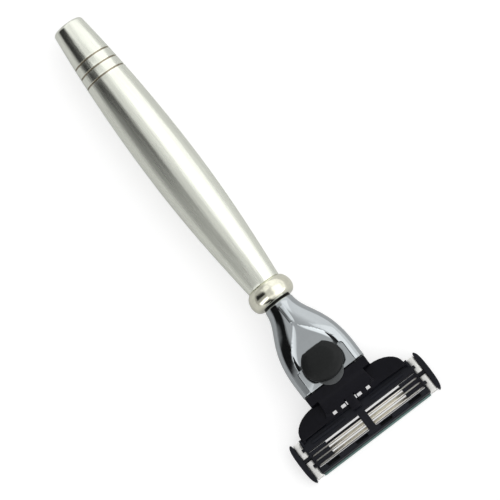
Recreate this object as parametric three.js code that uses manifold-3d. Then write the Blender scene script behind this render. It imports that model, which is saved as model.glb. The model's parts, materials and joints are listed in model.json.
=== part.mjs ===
// Cartridge razor: a turned metal handle, a cast head with a release button,
// and a three-blade cartridge that pivots on its hub.
// Millimetres, +Z up. The razor lies blade side down, with the handle along Y,
// the butt at +Y and the cartridge along X. Inside the razor group y = -s, where s
// runs from the butt end to the cartridge, and z = 0 is the axis of the handle.
import * as THREE from 'three';
import { mergeVertices } from 'three/addons/utils/BufferGeometryUtils.js';
import Module from 'manifold-3d';

const wasm = await Module();
wasm.setup();

// ---- clearances
const seatGap = 0.05;       // faces that rest on each other
const fitGap = 0.15;        // pieces set in a seat or a slot
const runningGap = 0.3;     // pieces that slide or turn in each other

// ---- handle
const handleLength = 85.9;
const buttDiameter = 8.7;
const buttEdgeRound = 0.9;
const bellyDiameter = 14;
const bellyStation = 47;    // the widest place, from the butt end
const neckDiameter = 9.5;   // at the ring
const grooveStation = 11.2;
const groovePitch = 3;
const grooveCount = 3;
const grooveWidth = 0.4;
const grooveDepth = 0.25;

// ---- screwed joint between handle and head
const studDiameter = 4.8;
const studDepthInHead = 5;
const studDepthInHandle = 9.5;
const threadPitch = 0.8;
const threadDepth = 0.35;
const insertDiameter = 7;
const insertLength = 11.5;

// ---- neck ring and gasket
const ringLength = 5.55;
const ringDiameter = 12.6;
const ringEdgeDiameter = 9.2;
const gasketThickness = 0.45;
const gasketDiameter = 7.9;

// ---- head casting
const headLength = 24;
const headNeckDiameter = 8.4;
const headWidth = 19.3;
const headShoulderLength = 20;   // from the neck to the full width
const headTop = 5.1;
const headBottom = 4.4;
const recessStart = 6.2;         // apex of the scooped recess, from the neck end
const recessFloor = 3.2;
const recessFloorLength = 9;     // level floor under the button, up to the mouth
const recessRim = 2.45;          // wall between the recess and the side of the head
const pocketRoof = 2.4;
const pocketFloor = 3;
const pocketStep = 1;            // the mouth pocket is wider than the guide's by this
const mechanismLength = 15;      // pocket depth behind the mouth
const plugLength = 6.2;

// ---- release button
const buttonTravel = 3;
const buttonLength = 9.2;
const buttonHeight = 2.9;
const buttonSideGap = 1.5;
const buttonFlatShare = 0.5;     // flat of the rear edge over the width
const carriageThickness = 0.9;
const lipRadius = 3.95;
const lipReach = 1.9;            // past the mouth of the head
const stemWidth = 3.2;
const stemLength = 2;
const ejectorThickness = 1.2;
const ejectorTop = 2.1;
const ejectorLug = 0.8;

// ---- plunger that swings the cartridge back
const plungerWidth = 2.6;
const plungerThickness = 1.6;
const plungerCollar = 0.7;
const plungerReach = 1.8;        // past the pivot
const plungerRetraction = 1.4;
const plungerDrop = 1.9;         // underside below the axis
const collarThickness = 0.8;
const tailDiameter = 1.1;
const tailReach = 0.6;           // behind the guide's pocket, at rest
const springWire = 0.35;
const plungerSpringDiameter = 2.3;
const returnSpringDiameter = 1.9;
const springOffset = 1.25;       // from the plunger's collar to the return springs
const springStop = 0.7;          // wall of the guide in front of the return springs
const returnSpringTurns = 6;
const plungerSpringTurns = 7;

// ---- hub
const hubReach = 7.95;           // from the neck face to the pivot
const hubNeckLength = 2.5;
const hubNeckTop = 2.9;
const hubNeckBottom = 3.5;
const hubPlateThickness = 1.5;
const hubBlockFlare = 1.9;       // widening of the middle block towards the plate
const hubBlockWidth = 14.4;
const journalDiameter = 1.2;
const hubWindowDepth = 1.1;
const hubWindows = [[1.9, 3.2], [4.8, 5.9]];   // near and far x of each pair of windows

// ---- cartridge
const pivotDrop = 1.6;           // pivot below the axis of the handle
const faceDrop = 7;              // shaving face below the axis of the handle
const housingWidth = 34.7;
const guardOverhang = 0.8;       // housing edge behind the pivot
const guardRailDepth = 3.6;
const capRailDepth = 1.7;
const housingTopDrop = 0.8;      // back of the housing below the pivot
const housingBase = 1.1;         // underside of the frame above the shaving face
const bladeCount = 3;
const bladePitch = 1.5;
const bladeTilt = 20;            // degrees
const bladeLength = 1.15;
const bladeThickness = 0.1;
const bladeEdgeHeight = 0.35;    // cutting edge above the clips' lowest face
const supportThickness = 0.24;
const windowMargin = 0.3;
const endWall = 0.4;
const bridgeWidth = 2.2;
const bridgeThickness = 1.2;
const combLength = 5.1;
const combWidth = 1;
const ridgeHeight = 0.35;
const ridgeEnds = [4.2, 14.75];
const clipWidth = 1.9;
const clipThickness = 0.24;
const shelfThickness = 1.3;
const barThickness = 1.45;
const barOverhangGuard = 0.5;
const barOverhangCap = 0.7;
const barTop = 1.3;              // top of the end bars below the pivot
const postThickness = 0.6;
const slotLength = 3.8;
const slotWidth = 0.8;
const slotDepth = 2.4;
const slotPlaces = [3.9, 13.1];
const stemThickness = 0.56;
const pegLength = 0.9;
const pegHeight = 0.8;
const finCount = 5;
const finPitch = 0.58;
const stripOverhang = 0.5;

// ---- stations along s, and levels, that follow from the sizes above
const ringStart = handleLength + seatGap;
const gasketStart = ringStart + ringLength + seatGap;
const headStart = gasketStart + gasketThickness + seatGap;
const mouth = headStart + headLength;
const hubFace = mouth + runningGap;
const pivot = hubFace + hubReach;
const guardEdge = pivot - guardOverhang;
const windowStart = guardEdge + guardRailDepth;
const windowEnd = windowStart + bladeCount * bladePitch + 2 * windowMargin;
const capEdge = windowEnd + capRailDepth;
const barEnd = capEdge + barOverhangCap;
const shelfStart = guardEdge + 0.35;
const shelfEnd = capEdge - 0.15;
const stemS = (guardEdge + capEdge) / 2 - 0.2;   // stem of each end bar
const axisHeight = Math.max(bellyDiameter / 2, faceDrop);

const pivotZ = -pivotDrop;
const housingTop = pivotZ - housingTopDrop;
const baseZ = -faceDrop + housingBase;
const housingHalf = housingWidth / 2;
const clipInner = housingHalf + fitGap;
const clipOuter = clipInner + clipWidth;
const barInner = clipOuter + fitGap;
const barOuter = barInner + barThickness;
const wingHalf = housingHalf - postThickness - fitGap;
const wingTop = pivotZ + hubPlateThickness / 2 + 0.2;
const wingBottom = wingTop - hubPlateThickness;
const plungerBottom = -plungerDrop;
const plungerTop = plungerBottom + plungerThickness;
const plungerAxisZ = (plungerBottom + plungerTop) / 2;
const mechanismStart = mouth - mechanismLength;
const plugStart = mouth - plugLength;
const plungerHalf = plungerWidth / 2;
const collarHalf = plungerHalf + plungerCollar;
const tunnelHalf = plungerHalf + runningGap;
const guideHalf = collarHalf + springOffset + returnSpringDiameter + fitGap;
const guidePocketHalf = guideHalf + runningGap;
const pocketHalf = guidePocketHalf + pocketStep;
const channelHalf = headWidth / 2 - recessRim;
const pocketBottomZ = -pocketFloor;
const guideEnd = plugStart - 0.5;
const chamberEnd = mechanismStart + 3.5;
const ejectorRear = mechanismStart + 0.5;
const springSeat = mechanismStart - plungerRetraction - tailReach - 0.4;

// ---- solids and their ways back to geometry

function solid(geometry) {
  const bare = geometry.clone();
  bare.deleteAttribute('normal');
  bare.deleteAttribute('uv');
  const merged = mergeVertices(bare, 1e-4);
  return new wasm.Manifold(new wasm.Mesh({
    numProp: 3,
    vertProperties: new Float32Array(merged.attributes.position.array),
    triVerts: new Uint32Array(merged.index.array),
  }));
}

function geometryOf(body) {
  const mesh = body.getMesh();
  const geometry = new THREE.BufferGeometry();
  geometry.setAttribute('position', new THREE.BufferAttribute(mesh.vertProperties, 3));
  geometry.setIndex(new THREE.BufferAttribute(mesh.triVerts, 1));
  geometry.computeVertexNormals();
  return geometry;
}

function joined(bodies) {
  return bodies.reduce((sum, body) => sum.add(body));
}

// a box between two x, two stations s and two levels z
function block(x0, x1, s0, s1, z0, z1) {
  const box = new THREE.BoxGeometry(Math.abs(x1 - x0), Math.abs(s1 - s0), Math.abs(z1 - z0));
  return solid(box.translate((x0 + x1) / 2, -(s0 + s1) / 2, (z0 + z1) / 2));
}

// an outline of [s, z] points carried across from x0 to x1
function across(outline, x0, x1) {
  const shape = new THREE.Shape(outline.map(([s, z]) => new THREE.Vector2(-s, z)));
  const prism = new THREE.ExtrudeGeometry(shape, { depth: x1 - x0, bevelEnabled: false });
  const turn = new THREE.Matrix4().makeBasis(
    new THREE.Vector3(0, 1, 0), new THREE.Vector3(0, 0, 1), new THREE.Vector3(1, 0, 0));
  return solid(prism.applyMatrix4(turn).translate(x0, 0, 0));
}

// a shape drawn in x and y = -s, raised from z0 to z1, with an optional rounded edge
function raised(shape, z0, z1, round = 0, steps = 2) {
  const plate = new THREE.ExtrudeGeometry(shape, {
    depth: z1 - z0 - 2 * round,
    bevelEnabled: round > 0,
    bevelThickness: round,
    bevelSize: round,
    bevelOffset: -round,
    bevelSegments: steps,
    curveSegments: 10,
  });
  return solid(plate.translate(0, 0, z0 + round));
}

function shapeOf(points) {
  return new THREE.Shape(points.map(([x, s]) => new THREE.Vector2(x, -s)));
}

// a rod along the handle
function rod(radius, s0, s1, x = 0, z = 0, sides = 20) {
  const cylinder = new THREE.CylinderGeometry(radius, radius, s1 - s0, sides);
  return solid(cylinder.translate(x, -(s0 + s1) / 2, z));
}

// a pin across the razor
function crossPin(radius, x0, x1, s, z, sides = 16) {
  const cylinder = new THREE.CylinderGeometry(radius, radius, Math.abs(x1 - x0), sides);
  return solid(cylinder.rotateZ(Math.PI / 2).translate((x0 + x1) / 2, -s, z));
}

// a closed outline of [radius, s] points turned about the axis of the handle
function turned(outline, sides = 36) {
  const points = outline.map(([radius, s]) => new THREE.Vector2(radius, -s));
  return solid(new THREE.LatheGeometry(points.reverse(), sides));
}

// a coil spring along the handle
function coil(diameter, wire, s0, s1, turns, x, z) {
  class Helix extends THREE.Curve {
    getPoint(t, target = new THREE.Vector3()) {
      const angle = t * turns * 2 * Math.PI;
      const radius = (diameter - wire) / 2;
      const length = s1 - s0 - wire;
      const y = -(s0 + wire / 2 + t * length);
      return target.set(x + radius * Math.cos(angle), y, z + radius * Math.sin(angle));
    }
  }
  const section = new THREE.Shape().absarc(0, 0, wire / 2, 0, 2 * Math.PI);
  return solid(new THREE.ExtrudeGeometry(section, {
    steps: turns * 10,
    curveSegments: 3,
    bevelEnabled: false,
    extrudePath: new Helix(),
  }));
}

function curvePoints(ends, count) {
  const [a, b, c, d] = ends.map(([x, y]) => new THREE.Vector2(x, y));
  return new THREE.CubicBezierCurve(a, b, c, d).getPoints(count).map((p) => [p.x, p.y]);
}

function smooth(t) {
  return THREE.MathUtils.smoothstep(t, 0, 1);
}

// ---- handle, insert, ring, gasket and stud

// radius of the handle's outside at each station, butt to belly and belly to neck
function handleOutside() {
  const buttRadius = buttDiameter / 2;
  const belly = bellyDiameter / 2;
  const rise = curvePoints([
    [0, buttRadius], [bellyStation / 3, buttRadius + 0.68 * (belly - buttRadius)],
    [bellyStation * 2 / 3, belly], [bellyStation, belly]], 14);
  const fall = handleLength - bellyStation;
  const neck = neckDiameter / 2;
  const taper = curvePoints([
    [bellyStation, belly], [bellyStation + fall / 3, belly],
    [bellyStation + fall * 2 / 3, neck + 0.58 * (belly - neck)], [handleLength, neck]], 14);
  return rise.concat(taper.slice(1));
}

function radiusAt(outside, station) {
  const after = outside.findIndex(([s]) => s >= station);
  const [s0, r0] = outside[after - 1];
  const [s1, r1] = outside[after];
  return r0 + (r1 - r0) * (station - s0) / (s1 - s0);
}

function handleBody() {
  const outside = handleOutside();
  const grooves = [];
  for (let i = 0; i < grooveCount; i += 1) {
    const s = grooveStation + i * groovePitch;
    const half = grooveWidth / 2;
    grooves.push({ from: s - half, to: s + half });
  }
  const plain = outside.filter(([s]) => s > buttEdgeRound
    && grooves.every(({ from, to }) => s < from - 0.1 || s > to + 0.1));
  const cut = grooves.flatMap(({ from, to }) => [
    [from, radiusAt(outside, from)],
    [from, radiusAt(outside, from) - grooveDepth],
    [to, radiusAt(outside, from) - grooveDepth],
    [to, radiusAt(outside, to)],
  ]);
  const wall = plain.concat(cut).sort((a, b) => a[0] - b[0]);
  // a groove's two walls each hold two points at one station: outer, inner, inner, outer
  const ordered = wall.map(([s, r]) => [r, s]);
  grooves.forEach(({ from, to }) => {
    const first = ordered.findIndex(([, s]) => s === from);
    if (ordered[first][0] < ordered[first + 1][0]) {
      [ordered[first], ordered[first + 1]] = [ordered[first + 1], ordered[first]];
    }
    const last = ordered.findIndex(([, s]) => s === to);
    if (ordered[last][0] > ordered[last + 1][0]) {
      [ordered[last], ordered[last + 1]] = [ordered[last + 1], ordered[last]];
    }
  });
  const edge = [];
  const edgeRadius = radiusAt(outside, buttEdgeRound);
  for (let i = 0; i <= 4; i += 1) {
    const angle = (i / 4) * Math.PI / 2;
    const r = edgeRadius - buttEdgeRound * (1 - Math.sin(angle));
    edge.push([r, buttEdgeRound * (1 - Math.cos(angle))]);
  }
  const boreRadius = insertDiameter / 2 + seatGap;
  const boreDepth = handleLength - insertLength - runningGap;
  const bore = [[boreRadius, handleLength], [boreRadius, boreDepth], [0, boreDepth - 2]];
  return turned([[0, 0], ...edge, ...ordered, ...bore]);
}

function threadedInsert() {
  const outer = insertDiameter / 2;
  const inner = studDiameter / 2 + fitGap;
  const end = handleLength - seatGap;
  const start = end - insertLength;
  return turned([[inner, start], [outer, start], [outer, end], [inner, end], [inner, start]], 30);
}

function joiningStud() {
  const crest = studDiameter / 2;
  const root = crest - threadDepth;
  const start = handleLength - studDepthInHandle;
  const end = headStart + studDepthInHead;
  const outline = [[0, start], [root, start]];
  for (let s = start + threadPitch; s < end - threadPitch / 2; s += threadPitch) {
    outline.push([crest, s - threadPitch / 2], [root, s]);
  }
  outline.push([root, end], [0, end]);
  return turned(outline, 16);
}

function neckRing() {
  const bore = studDiameter / 2 + fitGap;
  const edge = ringEdgeDiameter / 2;
  const bulge = (ringDiameter - ringEdgeDiameter) / 2;
  const outline = [[bore, ringStart]];
  const count = 12;
  for (let i = 0; i <= count; i += 1) {
    const angle = Math.PI * i / count;
    const s = ringStart + ringLength * (1 - Math.cos(angle)) / 2;
    outline.push([edge + bulge * Math.sin(angle), s]);
  }
  outline.push([bore, ringStart + ringLength], [bore, ringStart]);
  return turned(outline);
}

function neckGasket() {
  const bore = studDiameter / 2 + fitGap;
  const outer = gasketDiameter / 2;
  const end = gasketStart + gasketThickness;
  return turned([[bore, gasketStart], [outer, gasketStart], [outer, end], [bore, end],
    [bore, gasketStart]], 30);
}

// ---- head casting

// sections of the head from the neck to the mouth
function headSections() {
  const neck = headNeckDiameter / 2;
  const full = headWidth / 2;
  const plan = curvePoints([
    [0, neck], [headShoulderLength * 0.275, neck - 0.1],
    [headShoulderLength * 0.4, full - 0.05], [headShoulderLength, full]], 13);
  plan.push([headLength, full]);
  return plan.map(([h, halfWidth]) => {
    const grown = smooth(h / (headShoulderLength * 0.7));
    return {
      s: headStart + h,
      halfWidth,
      top: neck + (headTop - neck) * grown,
      bottom: neck + (headBottom - neck) * grown,
      squareness: 2 + 1.8 * grown,
    };
  });
}

function headOuter() {
  const sections = headSections();
  const rows = sections.length - 1;
  const geometry = new THREE.CylinderGeometry(1, 1, 1, 40, rows);
  const position = geometry.attributes.position;
  for (let i = 0; i < position.count; i += 1) {
    const section = sections[Math.round((0.5 - position.getY(i)) * rows)];
    const reach = Math.hypot(position.getX(i), position.getZ(i));
    const power = 2 / section.squareness;
    const side = reach === 0 ? 0 : position.getX(i) / reach;
    const up = reach === 0 ? 0 : position.getZ(i) / reach;
    const x = section.halfWidth * Math.sign(side) * Math.abs(side) ** power;
    const height = up > 0 ? section.top : section.bottom;
    const z = height * Math.sign(up) * Math.abs(up) ** power;
    position.setXYZ(i, reach * x, -section.s, reach * z);
  }
  return solid(geometry);
}

// the scooped fan that narrows to an apex behind the button
function recess() {
  const apex = headStart + recessStart;
  const levelStart = mouth - recessFloorLength;
  const past = mouth + 1;
  const side = curvePoints([
    [0.3, apex], [channelHalf * 0.45, apex + 3.5],
    [channelHalf * 0.95, levelStart - 2], [channelHalf, mouth - 4]], 10);
  const outline = [...side, [channelHalf, past], [-channelHalf, past]];
  side.slice().reverse().forEach(([x, s]) => outline.push([-x, s]));
  const above = headTop + 1;
  const fan = raised(shapeOf(outline), recessFloor - 1, above);
  const depth = across([
    [apex - 0.5, headTop - 0.45], [levelStart, recessFloor], [past, recessFloor],
    [past, above], [apex - 0.5, above]], -headWidth, headWidth);
  return fan.intersect(depth);
}

function headCasting() {
  const past = mouth + 1;
  const plugPocket = block(-pocketHalf, pocketHalf, plugStart - runningGap, past,
    pocketBottomZ, pocketRoof);
  const guidePocket = block(-guidePocketHalf, guidePocketHalf, mechanismStart, plugStart,
    pocketBottomZ, pocketRoof);
  const springBore = rod(plungerSpringDiameter / 2 + runningGap,
    springSeat - 0.2, mechanismStart + 1, 0, plungerAxisZ);
  const studBore = rod(studDiameter / 2 + fitGap, headStart - 1,
    headStart + studDepthInHead + runningGap);
  const slotHalf = stemWidth / 2 + runningGap;
  const stemSlot = block(-slotHalf, slotHalf, stemStart() - runningGap,
    stemStart() + stemLength + buttonTravel + runningGap, pocketRoof - 0.5, recessFloor + 0.5);
  return headOuter()
    .subtract(recess())
    .subtract(plugPocket)
    .subtract(guidePocket)
    .subtract(springBore)
    .subtract(studBore)
    .subtract(stemSlot);
}

// ---- release button

function stemStart() {
  return plugStart - stemLength - 0.4;
}

function buttonCap() {
  const half = channelHalf - buttonSideGap;
  const rear = mouth + runningGap - buttonLength;
  const front = mouth + runningGap;
  const flat = half * buttonFlatShare;
  const middle = rear + buttonLength * 0.52;
  const shape = new THREE.Shape();
  shape.moveTo(-flat, -rear);
  shape.lineTo(flat, -rear);
  shape.bezierCurveTo(half * 0.85, -rear, half, -(middle - 1.8), half, -middle);
  shape.bezierCurveTo(half, -(middle + 2.4), half * 0.6, -front, 0, -front);
  shape.bezierCurveTo(-half * 0.6, -front, -half, -(middle + 2.4), -half, -middle);
  shape.bezierCurveTo(-half, -(middle - 1.8), -half * 0.85, -rear, -flat, -rear);
  const low = recessFloor + 0.1 + carriageThickness + seatGap;
  const body = raised(shape, low - 1, low + buttonHeight, 1, 3);
  return body.intersect(block(-half - 1, half + 1, rear - 1, front + 1, low, low + 9));
}

function buttonCarriage() {
  const low = recessFloor + 0.1;
  const front = mouth + lipReach;
  const rear = stemStart() - 0.1;
  const centre = front - lipRadius;
  const shape = new THREE.Shape();
  shape.moveTo(-lipRadius * 0.8, -rear);
  shape.lineTo(lipRadius * 0.8, -rear);
  shape.lineTo(lipRadius, -centre);
  shape.absarc(0, -centre, lipRadius, 0, -Math.PI, true);
  const plate = raised(shape, low, low + carriageThickness);
  const stemHalf = stemWidth / 2;
  const stem = block(-stemHalf, stemHalf, stemStart(), stemStart() + stemLength,
    ejectorTop + seatGap, low + 0.3);
  return plate.add(stem);
}

function ejectorPlate() {
  const half = guideHalf - 0.1;
  const bottom = ejectorTop - ejectorThickness;
  const plate = block(-half, half, ejectorRear, plugStart - runningGap, bottom, ejectorTop);
  const lugs = [-1, 1].map((side) => block(
    side * (half - returnSpringDiameter - 0.1), side * half, ejectorRear, ejectorRear + ejectorLug,
    returnSpringZ() - returnSpringDiameter / 2, bottom + 0.3));
  return joined([plate, ...lugs]);
}

function returnSpringZ() {
  return ejectorTop - ejectorThickness - runningGap - returnSpringDiameter / 2 - 0.25;
}

function returnSpringX() {
  return guideHalf - 0.15 - returnSpringDiameter / 2;
}

function returnSpring(side) {
  const start = ejectorRear + ejectorLug + seatGap;
  const end = guideEnd - springStop - seatGap;
  return coil(returnSpringDiameter, springWire, start, end, returnSpringTurns,
    side * returnSpringX(), returnSpringZ());
}

// ---- plunger and its guide

function plungerGuide() {
  const top = ejectorTop - ejectorThickness - runningGap;
  const bottom = pocketBottomZ + runningGap;
  const start = mechanismStart + runningGap;
  const chamberHalf = collarHalf + runningGap;
  const chamber = block(-chamberHalf, chamberHalf, start - 1, chamberEnd,
    plungerBottom - plungerCollar * 0.5, plungerTop + plungerCollar * 0.5);
  const tunnel = block(-tunnelHalf, tunnelHalf, start - 1, guideEnd + 1,
    plungerBottom - runningGap, plungerTop + runningGap);
  const grooveHalf = returnSpringDiameter / 2 + 0.1;
  const grooves = [-1, 1].map((side) => block(
    side * (returnSpringX() - grooveHalf), side * (guideHalf + 1), start - 1, guideEnd - springStop,
    returnSpringZ() - grooveHalf, top + 1));
  return block(-guideHalf, guideHalf, start, guideEnd, bottom, top)
    .subtract(joined([chamber, tunnel, ...grooves]));
}

function pivotPlunger() {
  const collarFront = chamberEnd - fitGap;
  const collarRear = collarFront - collarThickness;
  const tip = pivot + plungerReach;
  const round = plungerThickness / 2;
  const outline = [[collarRear, plungerBottom], [tip - round, plungerBottom]];
  for (let i = 1; i < 6; i += 1) {
    const angle = -Math.PI / 2 + Math.PI * i / 6;
    outline.push([tip - round + round * Math.cos(angle), plungerAxisZ + round * Math.sin(angle)]);
  }
  outline.push([tip - round, plungerTop], [collarRear, plungerTop]);
  const bar = across(outline, -plungerHalf, plungerHalf);
  const collar = block(-collarHalf, collarHalf, collarRear, collarFront,
    plungerBottom - 0.15, plungerTop + 0.15);
  const tail = rod(tailDiameter / 2, mechanismStart - tailReach, collarRear + 0.3, 0,
    plungerAxisZ, 12);
  return joined([bar, collar, tail]);
}

function plungerSpring() {
  const end = chamberEnd - fitGap - collarThickness - seatGap;
  return coil(plungerSpringDiameter, springWire, springSeat, end, plungerSpringTurns, 0,
    plungerAxisZ);
}

// ---- hub

function cartridgeHub() {
  const neckHalf = headWidth / 2 - 0.2;
  const plateEnd = pivot + 0.2;
  const neckEnd = hubFace + hubNeckLength;
  const slope = across([
    [hubFace, hubNeckTop], [neckEnd, hubNeckTop - 0.5], [neckEnd + 2.2, 0.9],
    [plateEnd - 1.6, wingTop + 0.15], [plateEnd, wingTop - 0.15], [plateEnd, wingBottom],
    [plateEnd - 1.6, wingBottom], [hubFace, -hubNeckBottom]], -neckHalf - 1, neckHalf + 1);
  const blockHalf = hubBlockWidth / 2;
  const flare = (side) => curvePoints([
    [side * blockHalf, neckEnd], [side * blockHalf, neckEnd + 2.5],
    [side * (blockHalf + 0.4), plateEnd - 1.5], [side * (blockHalf + hubBlockFlare), plateEnd]], 6);
  const plan = [[-neckHalf, hubFace], [neckHalf, hubFace], [neckHalf, neckEnd],
    ...flare(1), ...flare(-1).reverse(), [-neckHalf, neckEnd]];
  const middle = slope.intersect(raised(shapeOf(plan), -9, 9));

  const wingStart = neckEnd - 0.1;
  const wingDepth = pivot - 0.7 - wingStart;
  const arc = (side) => {
    const points = [];
    for (let i = 0; i <= 8; i += 1) {
      const angle = Math.PI / 2 * (1 - i / 8);
      points.push([side * (neckHalf - 0.4 + (wingHalf - neckHalf + 0.4) * Math.cos(angle)),
        wingStart + wingDepth * (1 - Math.sin(angle))]);
    }
    return points;
  };
  const wingPlan = [...arc(1), [wingHalf, plateEnd], [-wingHalf, plateEnd], ...arc(-1).reverse()];
  const wings = raised(shapeOf(wingPlan), wingBottom, wingTop, 0.4, 2);

  const journals = [-1, 1].map((side) => crossPin(journalDiameter / 2,
    side * (wingHalf - 0.8), side * (wingHalf + fitGap + postThickness - 0.1), pivot, pivotZ));
  const plugHalf = pocketHalf - runningGap;
  const plug = block(-plugHalf, plugHalf, plugStart, hubFace + 0.5,
    pocketBottomZ + runningGap, pocketRoof - runningGap);

  const tunnel = block(-tunnelHalf, tunnelHalf, plugStart - 1, plateEnd + 1,
    plungerBottom - runningGap, plungerTop + runningGap);
  const windowEndS = pivot - 0.4;
  const windows = hubWindows.flatMap(([near, far]) => [-1, 1].map((side) => block(
    side * near, side * far, windowEndS - hubWindowDepth, windowEndS, -9, 9)));
  return joined([middle, wings, plug, ...journals])
    .subtract(tunnel)
    .subtract(joined(windows));
}

// ---- cartridge

function cartridgeHousing() {
  const round = (s, z, radius, from) => {
    const points = [];
    for (let i = 0; i <= 3; i += 1) {
      const angle = from - Math.PI / 2 * i / 3;
      points.push([s + radius * Math.cos(angle), z + radius * Math.sin(angle)]);
    }
    return points;
  };
  const section = [[guardEdge, baseZ],
    ...round(guardEdge + 0.8, housingTop - 0.8, 0.8, Math.PI),
    ...round(capEdge - 1.1, housingTop - 1.1, 1.1, Math.PI / 2),
    [capEdge, baseZ]];
  const frame = across(section, -housingHalf, housingHalf);
  const windowHalf = housingHalf - endWall;
  const window = block(-windowHalf, windowHalf, windowStart, windowEnd, -20, 20);
  const bridgeHalf = bridgeWidth / 2;
  const bridge = block(-bridgeHalf, bridgeHalf, windowStart - 0.2, windowEnd + 0.2,
    housingTop - bridgeThickness, housingTop);

  const pieces = [frame.subtract(window), bridge];
  [-1, 1].forEach((side) => {
    for (let i = 0; i < bladeCount; i += 1) {
      const s = bladeStation(i) - 0.7;
      pieces.push(block(side * (windowHalf - combLength), side * (windowHalf + 0.1),
        s, s + combWidth, housingTop - bridgeThickness, housingTop - 0.25));
    }

    const shelf = block(side * (housingHalf - 0.1), side * (barInner + 0.1), shelfStart,
      shelfEnd, baseZ, baseZ + shelfThickness);
    const stem = block(side * (housingHalf - 0.1), side * (barInner + 0.1),
      stemS - stemThickness / 2, stemS + stemThickness / 2,
      baseZ + shelfThickness - 0.1, baseZ + shelfThickness + 1.2);
    pieces.push(shelf, stem, endBar(side));

    const post = across([
      [guardEdge, housingTop - 1], [guardEdge, pivotZ + 0.3], [guardEdge + 0.5, pivotZ + 0.85],
      [pivot + 0.5, pivotZ + 0.85], [pivot + 1.1, pivotZ + 0.2], [pivot + 1.1, housingTop - 1]],
    side < 0 ? -housingHalf : housingHalf - postThickness,
    side < 0 ? postThickness - housingHalf : housingHalf);
    pieces.push(post);

    const ridgeZ = housingTop + ridgeHeight;
    const ridge = across([[pivot + 1, housingTop - 0.2], [pivot + 1.15, ridgeZ],
      [pivot + 1.85, ridgeZ], [pivot + 2.1, housingTop - 0.2]],
    side < 0 ? -ridgeEnds[1] : ridgeEnds[0], side < 0 ? -ridgeEnds[0] : ridgeEnds[1]);
    pieces.push(ridge);

    [windowStart - 1, windowEnd - 1.2].forEach((s) => {
      pieces.push(block(side * (housingHalf - 0.1), side * (housingHalf + 0.85),
        s - pegLength / 2, s + pegLength / 2,
        housingTop - 0.5 - pegHeight, housingTop - 0.5));
    });
  });

  const cuts = [crossPin(journalDiameter / 2 + fitGap, -housingHalf - 1, housingHalf + 1,
    pivot, pivotZ)];
  slotPlaces.forEach((x) => [-1, 1].forEach((side) => {
    cuts.push(block(side * x - slotLength / 2, side * x + slotLength / 2, windowEnd + 0.3,
      windowEnd + 0.3 + slotWidth, housingTop - slotDepth, housingTop + 1));
  }));
  return joined(pieces).subtract(joined(cuts));
}

// the slim bowed bar outside each clip
function endBar(side) {
  const from = guardEdge - barOverhangGuard;
  const tip = 0.75;
  const middle = (from + barEnd) / 2;
  const inner = side * barInner;
  const outer = side * barOuter;
  const shape = new THREE.Shape();
  shape.moveTo(inner, -(from + tip));
  shape.quadraticCurveTo(inner, -from, inner + side * tip * 0.6, -from);
  shape.bezierCurveTo(outer - side * 0.2, -(from + 0.5), outer, -(middle - 3.5), outer, -middle);
  shape.bezierCurveTo(outer, -(middle + 3.5), outer - side * 0.2, -(barEnd - 0.5),
    inner + side * tip * 0.6, -barEnd);
  shape.quadraticCurveTo(inner, -barEnd, inner, -(barEnd - tip));
  return raised(shape, -faceDrop + 0.2, pivotZ - barTop);
}

function bladeStation(i) {
  return windowStart + windowMargin + bladePitch * (i + 0.5);
}

// a point at a distance along and above blade i, from its cutting edge
function onBlade(i, along, above) {
  const tilt = THREE.MathUtils.degToRad(bladeTilt);
  const s = bladeStation(i) - 0.6 + along * Math.cos(tilt) - above * Math.sin(tilt);
  const z = -faceDrop + bladeEdgeHeight + along * Math.sin(tilt) + above * Math.cos(tilt);
  return [s, z];
}

function blade(i) {
  const half = housingHalf + 1.45;
  return across([onBlade(i, 0, 0), onBlade(i, bladeLength, 0),
    onBlade(i, bladeLength, bladeThickness), onBlade(i, 0.25, bladeThickness)], -half, half);
}

function bladeSupport(i) {
  const half = housingHalf - endWall - fitGap;
  const under = bladeThickness + 0.03;
  const front = onBlade(i, 0.3, under);
  const heel = onBlade(i, bladeLength + 0.15, under);
  const top = housingTop - bridgeThickness - fitGap;
  const inner = heel[0] - supportThickness;
  const slope = Math.tan(THREE.MathUtils.degToRad(bladeTilt));
  const lip = onBlade(i, 0.3, under + supportThickness);
  return across([front, heel, [heel[0], top], [inner, top],
    [inner, lip[1] + (inner - lip[0]) * slope], lip], -half, half);
}

function retainingClip(side) {
  const low = -faceDrop;
  const start = shelfStart - fitGap - clipThickness;
  const end = shelfEnd + fitGap + clipThickness;
  const top = baseZ + shelfThickness + fitGap + clipThickness;
  const before = stemS - stemThickness / 2 - 0.25;
  const after = stemS + stemThickness / 2 + 0.25;
  const t = clipThickness;
  const outline = [[before, top], [start, top], [start, low], [end, low], [end, top],
    [after, top], [after, top - t], [end - t, top - t], [end - t, low + t],
    [start + t, low + t], [start + t, top - t], [before, top - t]];
  return across(outline, side < 0 ? -clipOuter : clipInner, side < 0 ? -clipInner : clipOuter);
}

function guardStrip() {
  const half = housingHalf - 0.15;
  const top = baseZ - seatGap;
  const root = top - 0.4;
  const low = -faceDrop + 0.1;
  const start = guardEdge + 0.2;
  const outline = [[start, top], [start, root]];
  for (let i = 0; i < finCount; i += 1) {
    const s = start + 0.15 + i * finPitch;
    outline.push([s, root], [s + 0.05, low], [s + 0.25, low], [s + 0.3, root]);
  }
  const end = start + 0.3 + finCount * finPitch;
  outline.push([end, root], [end, top]);
  return across(outline, -half, half);
}

function lubricatingStrip() {
  const half = housingHalf - 0.15;
  const top = baseZ - seatGap;
  const low = -faceDrop + 0.05;
  const start = windowEnd + 0.15;
  const outer = capEdge + stripOverhang;
  const wall = capEdge + seatGap;
  return across([[start, top], [start, low + 0.25], [start + 0.35, low], [outer - 0.6, low],
    [outer, low + 0.55], [outer, baseZ + 0.7], [wall, baseZ + 0.9], [wall, top]], -half, half);
}

// ---- materials and assembly

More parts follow.
